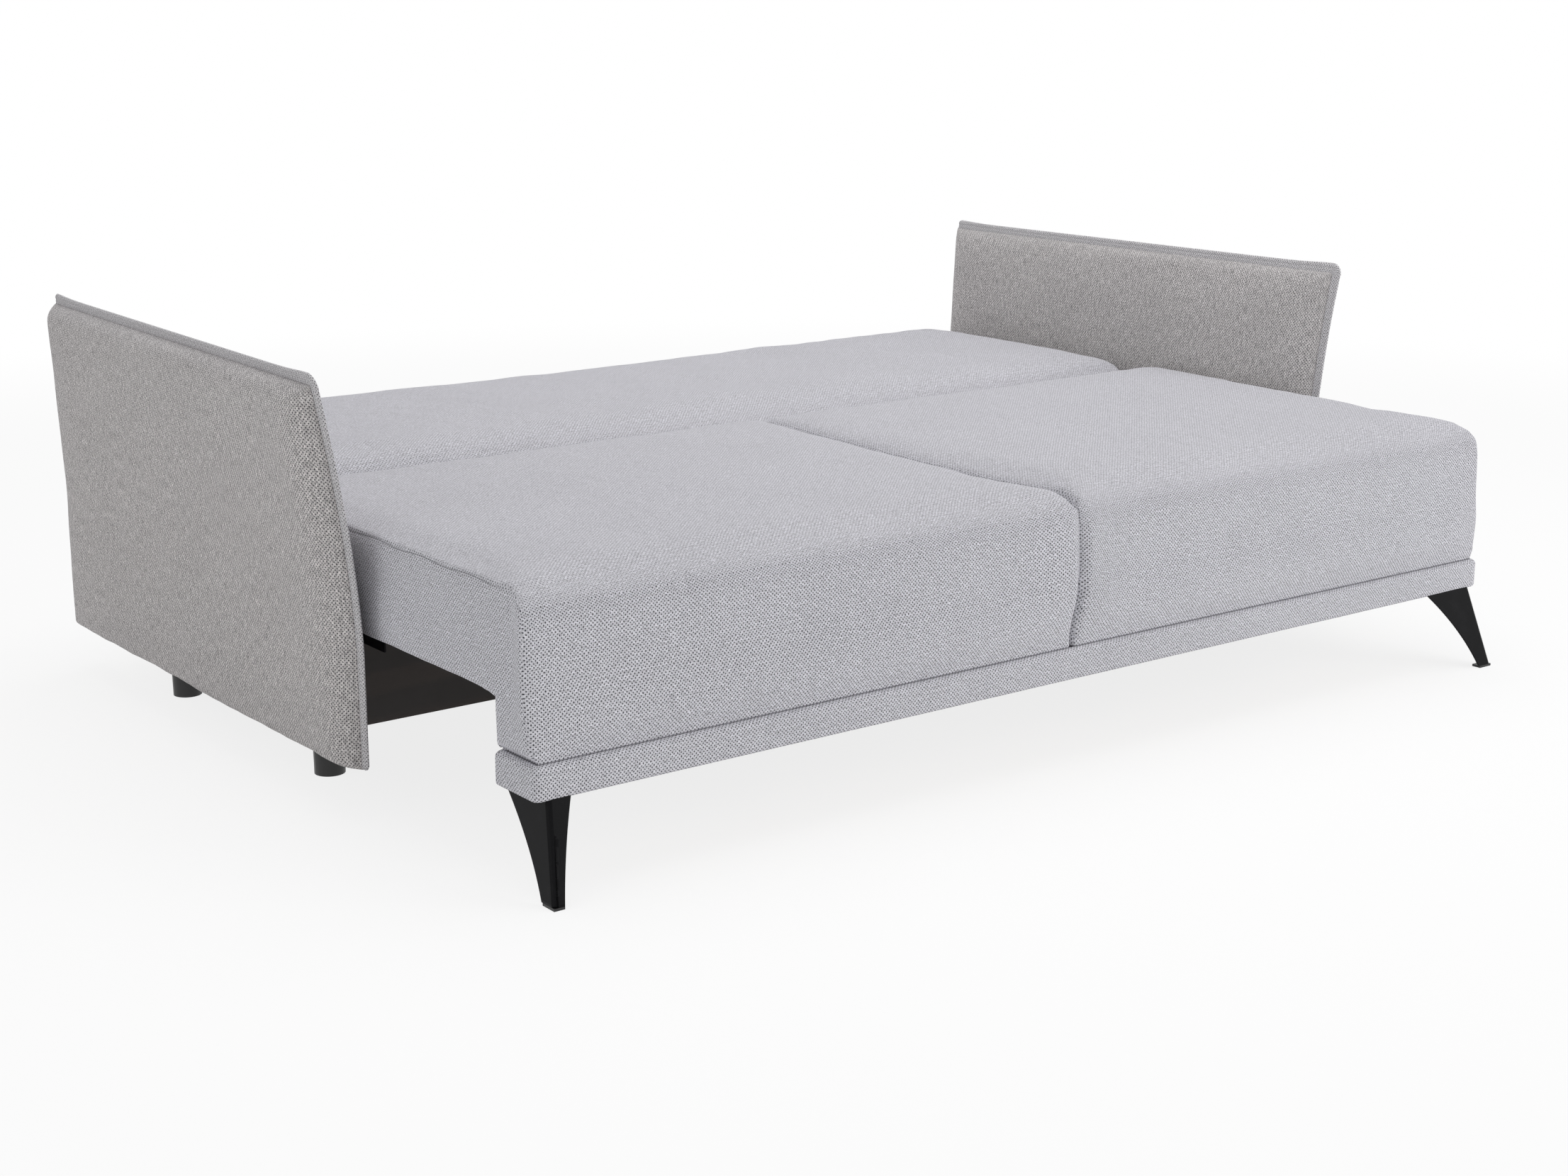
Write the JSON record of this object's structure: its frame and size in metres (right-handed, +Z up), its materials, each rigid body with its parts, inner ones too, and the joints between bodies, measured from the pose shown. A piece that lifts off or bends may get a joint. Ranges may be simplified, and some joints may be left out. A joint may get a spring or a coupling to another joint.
{
  "type": "sofa bed",
  "caption": "Upholstered sofa bed, opened out flat: the seat slides on rollers between flared side panels and its back folds down behind it.",
  "frame": {"origin": "on the floor, under the middle of the whole part as it stands opened out", "axes": "+X to the right along the width, +Y to the rear, +Z up"},
  "size_m": [2.256, 1.564, 0.676],
  "materials": {
    "grey_cloth": "coarse basket-weave upholstery over foam",
    "black_cloth": "thin non-woven dust cover",
    "dark_board": "dark brown laminated board, matt",
    "pine_wood": "planed softwood and plywood, bare",
    "beech_wood": "bare beech",
    "black_steel": "satin black powder coat",
    "zinc_steel": "zinc plated",
    "nylon": "natural nylon",
    "black_plastic": "black, lightly glossy",
    "black_rubber": "matt"
  },
  "bodies": {
    "base": {"arm_bolts": "zinc_steel", "arm_core_left": "pine_wood", "arm_core_right": "pine_wood", "arm_flange_left": "grey_cloth", "arm_flange_right": "grey_cloth", "arm_inner_pad_left": "grey_cloth", "arm_inner_pad_right": "grey_cloth", "arm_outer_pad_left": "grey_cloth", "arm_outer_pad_right": "grey_cloth", "arm_spacers": "pine_wood", "base_bottom_panel": "dark_board", "base_feet": "black_plastic", "base_front_panel": "dark_board", "base_rear_board": "dark_board", "base_side_left": "dark_board", "base_side_right": "dark_board", "corner_blocks": "pine_wood", "foot_studs": "zinc_steel", "rear_buffers": "black_rubber", "roller_track_left": "zinc_steel", "roller_track_right": "zinc_steel", "track_screws": "zinc_steel"},
    "seat": {"apron_bottom_board": "pine_wood", "apron_ends": "pine_wood", "apron_front_board": "pine_wood", "apron_rear_board": "pine_wood", "front_leg_left": "black_steel", "front_leg_right": "black_steel", "hinge_pins": "zinc_steel", "leg_blocks": "pine_wood", "leg_glides": "black_plastic", "leg_screws": "zinc_steel", "plinth_roll": "grey_cloth", "roller_axles": "zinc_steel", "seat_cross_rails": "pine_wood", "seat_front_pad_left": "grey_cloth", "seat_front_pad_right": "grey_cloth", "seat_hinge_plates": "black_steel", "seat_pad_left": "grey_cloth", "seat_pad_right": "grey_cloth", "seat_runner_left": "black_steel", "seat_runner_right": "black_steel", "seat_side_rails": "pine_wood", "seat_side_wrap_left": "grey_cloth", "seat_side_wrap_right": "grey_cloth", "seat_slats": "beech_wood", "seat_underside_cloth": "black_cloth"},
    "back": {"back_cross_rails": "pine_wood", "back_edge_wraps": "grey_cloth", "back_hinge_ears": "black_steel", "back_pad": "grey_cloth", "back_side_rails": "pine_wood", "back_slats": "beech_wood", "back_support_blocks": "pine_wood", "back_underside_cloth": "black_cloth", "hinge_bushes": "nylon"},
    "roller_front_left": {"roller_front_left": "nylon"},
    "roller_front_right": {"roller_front_right": "nylon"},
    "roller_rear_left": {"roller_rear_left": "nylon"},
    "roller_rear_right": {"roller_rear_right": "nylon"}
  },
  "joints": [
    {"name": "seat_slide", "type": "slide", "parent": "base", "child": "seat", "axis": [0, 1, 0], "range_m": [0, 0.39]},
    {"name": "back_fold", "type": "hinge", "parent": "seat", "child": "back", "pos_m": [0, 0.1908, 0.36], "axis": [1, 0, 0], "range_deg": [0, 80]},
    {"name": "roller_front_left_spin", "type": "hinge", "parent": "seat", "child": "roller_front_left", "pos_m": [-0.9625, -0.043, 0.214], "axis": [1, 0, 0], "continuous": true},
    {"name": "roller_front_right_spin", "type": "hinge", "parent": "seat", "child": "roller_front_right", "pos_m": [0.9625, -0.043, 0.214], "axis": [1, 0, 0], "continuous": true},
    {"name": "roller_rear_left_spin", "type": "hinge", "parent": "seat", "child": "roller_rear_left", "pos_m": [-0.9625, 0.067, 0.214], "axis": [1, 0, 0], "continuous": true},
    {"name": "roller_rear_right_spin", "type": "hinge", "parent": "seat", "child": "roller_rear_right", "pos_m": [0.9625, 0.067, 0.214], "axis": [1, 0, 0], "continuous": true}
  ],
  "couplings": [
    {"joint": "back_fold", "follows": "seat_slide", "rad_per_m": 3.58},
    {"joint": "roller_front_left_spin", "follows": "seat_slide", "rad_per_m": -66.667},
    {"joint": "roller_front_right_spin", "follows": "seat_slide", "rad_per_m": -66.667},
    {"joint": "roller_rear_left_spin", "follows": "seat_slide", "rad_per_m": -66.667},
    {"joint": "roller_rear_right_spin", "follows": "seat_slide", "rad_per_m": -66.667}
  ]
}
